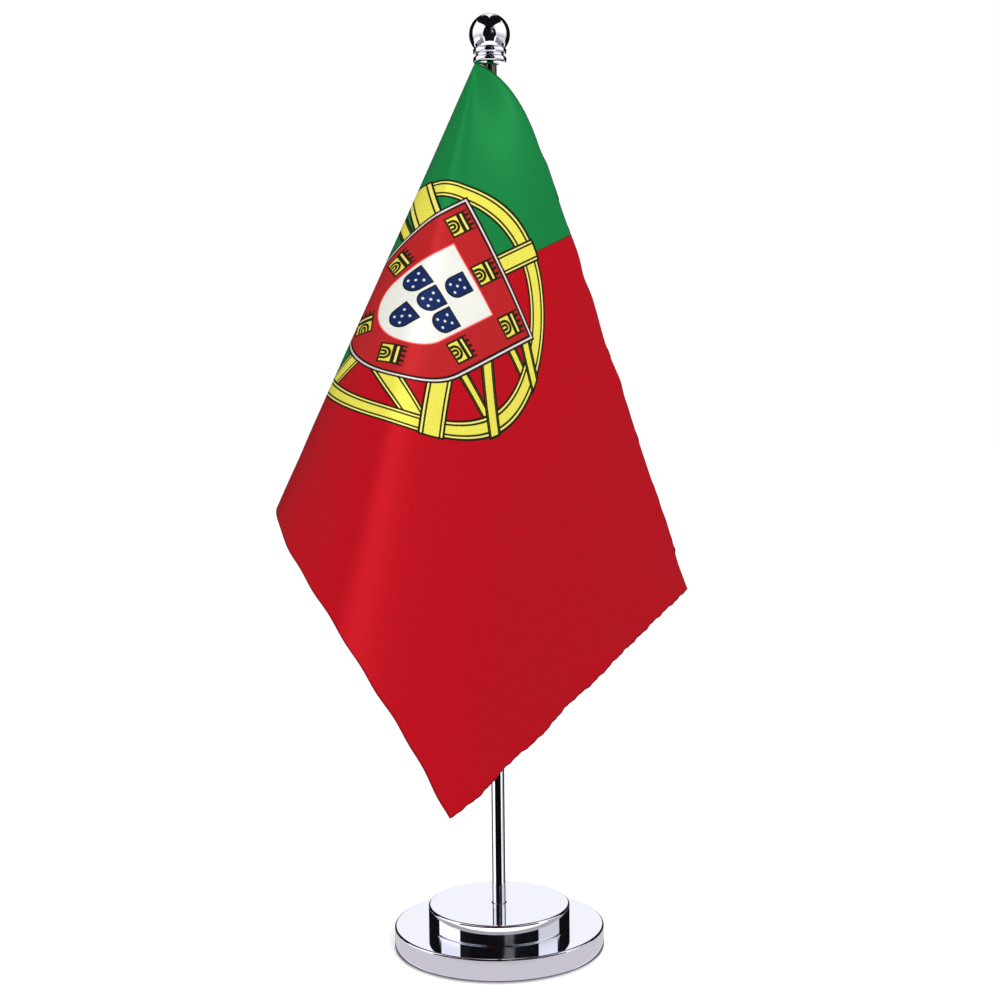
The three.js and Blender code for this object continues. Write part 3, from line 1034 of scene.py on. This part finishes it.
def graded(length):
    """Places along an edge, closer together near the pinched corner and at the far end."""
    places = [0.0]
    while places[-1] < length:
        places.append(places[-1] + FINE_CELL + (CLOTH_CELL - FINE_CELL) * min(1, places[-1] / 60))
    places = np.array(places) * length / places[-1]
    return np.unique(np.append(places, [length - 0.8, length - 0.3]))


fly_places = graded(FLAG_FLY)
hoist_places = graded(FLAG_HOIST)
fly_grid, hoist_grid = np.meshgrid(fly_places, hoist_places, indexing="ij")
cloth_middle = settled_points(fly_grid, hoist_grid)
flat_grid = np.stack([fly_grid / FLAG_FLY, hoist_grid / FLAG_HOIST], -1)
flag = sheet_mesh("flag", cloth_middle, cloth, CLOTH_THICKNESS, flat_grid)
attach(flag, "flag", "flag_cloth", "flag_cloth")

# ---- pocket, tab and stitching --------------------------------------------------------


def pocket_plan():
    """The pocket's middle line seen from above, from the seam round the pole and back."""
    leave = math.acos(POCKET_RADIUS / HOIST_DISTANCE)
    start, stop = SEAM_HEADING - leave, SEAM_HEADING - 2 * math.pi + leave
    turns = np.linspace(start, stop, 49)
    loop = np.stack([np.cos(turns), np.sin(turns)], -1) * POCKET_RADIUS
    seam = hoist_corner[:2]
    straight = np.linspace(0, 1, 9)[:-1, None]
    front = seam + (loop[0] - seam) * straight
    behind = seam + (loop[-1] - seam) * straight
    return np.vstack([front, loop, behind[::-1]])


def pocket_sheet():
    """The pocket, and the hem that is sewn down behind the flag."""
    plan = pocket_plan()
    drops = np.linspace(CORNER_LEVEL - POCKET_TOP, FLAG_HOIST, 90)
    hem = np.linspace(0.15, POCKET_HEM, 8)
    columns = []
    for drop in drops:
        level = CORNER_LEVEL - drop
        wave = 0.12 * math.sin(2 * math.pi * drop / STITCH_PITCH / 2)
        loop = [(x, y, level) for x, y in plan]
        for k, point in enumerate(loop):
            slack = math.sin(math.pi * k / (len(loop) - 1))
            swell = 1 + 0.01 * wave * slack
            loop[k] = (point[0] * swell, point[1] * swell, level)
        reach = hem * min(1.0, 0.2 * drop / POCKET_HEM)
        under = cloth_points(reach, np.full_like(hem, drop))
        beside = cloth_points(reach, np.full_like(hem, drop + 0.5))
        inward = cloth_points(reach + 0.5, np.full_like(hem, drop))
        normal = np.cross(inward - under, beside - under)
        normal /= np.linalg.norm(normal, axis=-1)[:, None]
        under = under - normal * (CLOTH_THICKNESS * 1.15)
        columns.append(np.vstack([loop, under]))
    return np.stack(columns, 1)


pocket = sheet_mesh("pocket", pocket_sheet(), hoist_cloth, CLOTH_THICKNESS)
attach(pocket, "flag", "hoist_cloth", "flag_sleeve")


def tab_piece():
    """The cloth tab: a ring round the stud, and a tongue that turns down to the corner."""
    turns = np.linspace(0, 2 * math.pi, 161)[:-1]
    steps = np.linspace(0, 1, 16)
    grid = np.zeros((len(turns) + 1, len(steps), 3))
    for i, turned in enumerate(np.append(turns, turns[0])):
        c, s = math.cos(turned), math.sin(turned)
        far = TAB_RADIUS
        if c > 0:
            far = max(far, min(TAB_REACH / c, TAB_HALF_WIDTH / max(abs(s), 1e-6)))
        for j, share in enumerate(steps):
            r = TAB_HOLE_RADIUS + (far - TAB_HOLE_RADIUS) * share
            x, y = r * c, r * s
            fall = max(0.0, x - TAB_BEND)
            grid[i, j] = (x - 0.25 * fall**2, y, TAB_LEVEL - 0.42 * fall**2)
    turn_c, turn_s = math.cos(SEAM_HEADING), math.sin(SEAM_HEADING)
    x, y = grid[..., 0].copy(), grid[..., 1].copy()
    grid[..., 0] = x * turn_c - y * turn_s
    grid[..., 1] = x * turn_s + y * turn_c
    return grid


tab = sheet_mesh("tab", tab_piece(), hoist_cloth, TAB_THICKNESS)
attach(tab, "flag", "hoist_cloth", "flag_tab")


def bead(points, radius, sides=6):
    """A round bead of thread along a line of points, closed at both ends."""
    points = np.asarray(points, float)
    along = np.gradient(points, axis=0)
    along /= np.linalg.norm(along, axis=1)[:, None]
    reference = np.array([0.3, 0.9, 0.2])
    side = np.cross(along, reference)
    side /= np.linalg.norm(side, axis=1)[:, None]
    other = np.cross(along, side)
    count = len(points)
    swell = np.sqrt(np.clip(1 - np.linspace(-1, 1, count) ** 4, 0.08, 1))
    turns = np.arange(sides) * 2 * math.pi / sides
    ring = np.cos(turns)[None, :, None] * side[:, None] + np.sin(turns)[None, :, None] * other[:, None]
    mesh_points = (points[:, None] + ring * (radius * swell)[:, None, None]).reshape(-1, 3)
    faces = [list(range(sides))[::-1], [(count - 1) * sides + k for k in range(sides)]]
    for i in range(count - 1):
        for k in range(sides):
            a, b = i * sides + k, i * sides + (k + 1) % sides
            faces.append([a, b, b + sides, a + sides])
    return mesh_points, faces


def seam_stitches():
    """Lock stitches down the hoist, through the flag and the pocket's hem."""
    points, faces = [], []
    for inset in (1.0, POCKET_HEM - 0.9):
        places = np.arange(STITCHING_START, FLAG_HOIST - 2, STITCH_PITCH)
        for place in places:
            drops = place + np.linspace(0, STITCH_LENGTH, 7)
            reach = np.full_like(drops, inset)
            line = cloth_points(reach, drops)
            down = cloth_points(reach, drops + 0.5) - line
            out = cloth_points(reach + 0.5, drops) - line
            normal = np.cross(out, down)
            normal /= np.linalg.norm(normal, axis=1)[:, None]
            arch = np.sin(np.linspace(0, math.pi, 7))[:, None]
            for side, rest in ((1, CLOTH_THICKNESS / 2), (-1, 1.5 * CLOTH_THICKNESS + HEM_GAP)):
                lift = rest + THREAD_THICKNESS * (0.45 * arch - 0.35)
                beads, quads = bead(line + normal * side * lift, THREAD_THICKNESS / 2)
                start = len(points)
                points.extend(beads)
                faces.extend([[start + n for n in quad] for quad in quads])
    return points, faces


stitches = add_mesh("stitching", *seam_stitches(), thread)
attach(stitches, "flag", "hoist_cloth")

# ---- stage ----------------------------------------------------------------------------

FLOOR_GLOW = 0.16
FLOOR_LEVEL = -0.0002  # metres
floor_material = new_material("floor", (0.9, 0.9, 0.9), 0.9, specular_ior_level=0.1)
floor_shader = floor_material.node_tree.nodes["Principled BSDF"]
floor_shader.inputs["Emission Color"].default_value = (1, 1, 1, 1)
floor_shader.inputs["Emission Strength"].default_value = FLOOR_GLOW
card_material = new_material("dark_card", (0.004, 0.004, 0.005), 1.0, specular_ior_level=0.0)


def glow_material(name, colour):
    """A card's own even light."""
    material = new_material(name, (0, 0, 0), 1.0, specular_ior_level=0.0)
    shader = material.node_tree.nodes["Principled BSDF"]
    shader.inputs["Emission Color"].default_value = (*colour, 1)
    shader.inputs["Emission Strength"].default_value = 1.0
    return material


grey_card = glow_material("grey_card", (0.76, 0.75, 0.72))

bpy.ops.mesh.primitive_circle_add(
    vertices=128, radius=4, fill_type="NGON", location=(0, 0, FLOOR_LEVEL)
)
floor = bpy.context.object
floor.name = "floor"
floor.data.materials.append(floor_material)


def reflection_card(name, points, material):
    """A studio card that only the polished metal sees. points is a grid, in millimetres."""
    points = np.asarray(points, float)
    rows, columns = points.shape[:2]
    card = add_mesh(name, points.reshape(-1, 3), grid_faces(rows, columns, 0, False), material)
    card.visible_camera = False
    card.visible_diffuse = False
    card.visible_shadow = False
    card.visible_transmission = False
    return card


def wall(radius, azimuths, levels, steps=32):
    """A curved wall about the pole; azimuth 0 is the front and 90 the right."""
    turns = np.radians(np.linspace(*azimuths, steps))
    return [
        [(radius * math.sin(a), -radius * math.cos(a), z) for z in np.linspace(*levels, 2)]
        for a in turns
    ]


def ground(near, far, azimuths, level, steps=48):
    """A flat part of a ring about the pole, between two radii."""
    turns = np.radians(np.linspace(*azimuths, steps))
    return [[(r * math.sin(a), -r * math.cos(a), level) for r in (near, far)] for a in turns]


SKY_CENTRE = 309  # about level with the finial's ball
SKY_RADIUS = 950
BAND_RADIUS = 930
WALL_RADIUS = 520
LOW_WALL_RADIUS = 62


def sky_band(radius, azimuths, elevations, steps=24):
    """A patch of a sphere about the ball, between two azimuths."""
    rows = []
    for e in np.radians(np.linspace(*elevations, steps)):
        out, level = radius * math.cos(e), SKY_CENTRE + radius * math.sin(e)
        turns = np.radians(np.linspace(*azimuths, 33))
        rows.append([(out * math.sin(a), -out * math.cos(a), level) for a in turns])
    return rows


def sky(azimuth_of, elevations, steps=24):
    """The same, symmetrical about the front, with azimuth_of giving its half width."""
    rows = []
    for elevation in np.linspace(*elevations, steps):
        half = azimuth_of(elevation)
        rows += sky_band(SKY_RADIUS, (-half, half), (elevation, elevation), 1)
    return rows


def graded_glow(name, low, high, start, stop, by_height):
    """A card that turns from one grey to another with height, or with distance from the axis."""
    material = glow_material(name, (1, 1, 1))
    tree = material.node_tree
    x, y, z = parts_of(tree, position_mm(tree))
    reach = z if by_height else distance(x, y)
    share = (reach - start).math("MULTIPLY", 1 / (stop - start), clamp=True)
    shader = tree.nodes["Principled BSDF"]
    tree.links.new(paint(tree, low, high, share), shader.inputs["Emission Color"])
    return material


white_card = glow_material("white_card", (1.0, 1.0, 1.0))
white_shader = white_card.node_tree.nodes["Principled BSDF"]
white_shader.inputs["Emission Strength"].default_value = 1.35
shade_card = glow_material("shade_card", (0.14, 0.14, 0.16))
dim_card = glow_material("dim_card", (0.50, 0.50, 0.50))
tall_card = graded_glow("tall_card", (0.36, 0.36, 0.38), (1.2, 1.2, 1.2), 20, 470, True)
far_ground_card = graded_glow(
    "far_ground_card", (0.2, 0.2, 0.21), (0.42, 0.42, 0.44), 265, 800, False
)
near_ground_card = graded_glow(
    "near_ground_card", (0.66, 0.62, 0.64), (0.36, 0.33, 0.35), 52, 61, False
)


def front_half_width(elevation):
    """Half the tall front card's width: it narrows upwards, then opens towards the top."""
    if elevation < 35:
        return 38 - 14 * max(0, elevation) / 35
    return 24 + 3 * (elevation - 35)


reflection_card("card_low_front", wall(LOW_WALL_RADIUS, (-54, 54), (1.6, 46)), card_material)
reflection_card("card_ground_front", ground(290, 1500, (-33, 33), 1.0), card_material)
reflection_card("card_tall_front", sky(front_half_width, (-20, 50)), card_material)
reflection_card("card_overhead", sky(lambda e: 165, (48, 90)), card_material)
for side, left, right in (("left", -106, -40), ("right", 40, 106)):
    tall = sky_band(BAND_RADIUS, (left, right), (-18, 44))
    reflection_card("card_tall_" + side, tall, tall_card)
    reflection_card("card_ground_" + side, ground(265, 880, (left, right), 0.6), far_ground_card)
reflection_card("card_right_grey", wall(WALL_RADIUS, (63, 112), (40, 190)), grey_card)
reflection_card("card_left_white", wall(WALL_RADIUS, (-112, -63), (40, 190)), white_card)
reflection_card("card_ground_near", ground(38.2, 61, (-180, 180), 0.3, 97), near_ground_card)
reflection_card("card_ground_edge", ground(33, 38.1, (-180, 180), 0.2, 97), shade_card)
reflection_card("card_ground_rear", ground(61.5, 700, (104, 256), 0.3), card_material)
reflection_card("card_ground_beside", ground(61.5, 262, (72, 104), 0.3), dim_card)


def rear_ring():
    """A dark ring of cards behind, open in the middle, which gives the metal its rims. It is
    narrow straight above the middle."""
    rows = []
    for turned in np.radians(np.linspace(-140, 140, 96)):
        row = []
        side = abs(math.degrees(turned))
        outer = 72 - 40 * math.exp(-((side / 24) ** 2))
        for polar in np.radians(np.linspace(9, outer, 10)):
            out, back = SKY_RADIUS * math.sin(polar), SKY_RADIUS * math.cos(polar)
            row.append((out * math.sin(turned), back, SKY_CENTRE + out * math.cos(turned)))
        rows.append(row)
    return rows


reflection_card("card_rear", rear_ring(), card_material)


LIGHTS_AIM = (0, 0, 0.18)  # metres, the middle of the flag


def area_light(name, place, size, power):
    light = bpy.data.lights.new(name, "AREA")
    light.shape = "RECTANGLE"
    light.size, light.size_y = size
    light.energy = power
    holder = bpy.data.objects.new(name, light)
    bpy.context.scene.collection.objects.link(holder)
    holder.location = place
    aim = Vector(LIGHTS_AIM) - Vector(place)
    holder.rotation_euler = aim.to_track_quat("-Z", "Y").to_euler()
    holder.visible_camera = False
    return holder


area_light("softbox_key", (0.3, -1.05, 0.56), (0.3, 0.7), 13)
area_light("softbox_left", (-1.1, -0.6, 0.4), (0.5, 0.9), 2.5)

world = bpy.data.worlds.new("studio")
bpy.context.scene.world = world
world.use_nodes = True
backdrop = world.node_tree.nodes["Background"]
backdrop.inputs["Color"].default_value = (1, 1, 1, 1)
backdrop.inputs["Strength"].default_value = 1.0

# ---- camera ---------------------------------------------------------------------------

CAMERA_PLACE = (1.8, -536.4, 193.8)
CAMERA_TILT = 4.22  # degrees down
CAMERA_ROLL = 0.62
CAMERA_LENS = 57.23

camera_data = bpy.data.cameras.new("camera")
camera_data.lens = CAMERA_LENS
camera_data.sensor_width = 36
camera_data.clip_start = 0.01
camera = bpy.data.objects.new("camera", camera_data)
bpy.context.scene.collection.objects.link(camera)
camera.location = Vector(CAMERA_PLACE) * MM
tilted = Euler((math.radians(90 - CAMERA_TILT), 0, 0)).to_matrix()
rolled = Euler((0, 0, math.radians(-CAMERA_ROLL))).to_matrix()
camera.rotation_euler = (tilted @ rolled).to_euler()
bpy.context.scene.camera = camera

bpy.context.scene.view_settings.view_transform = "Standard"
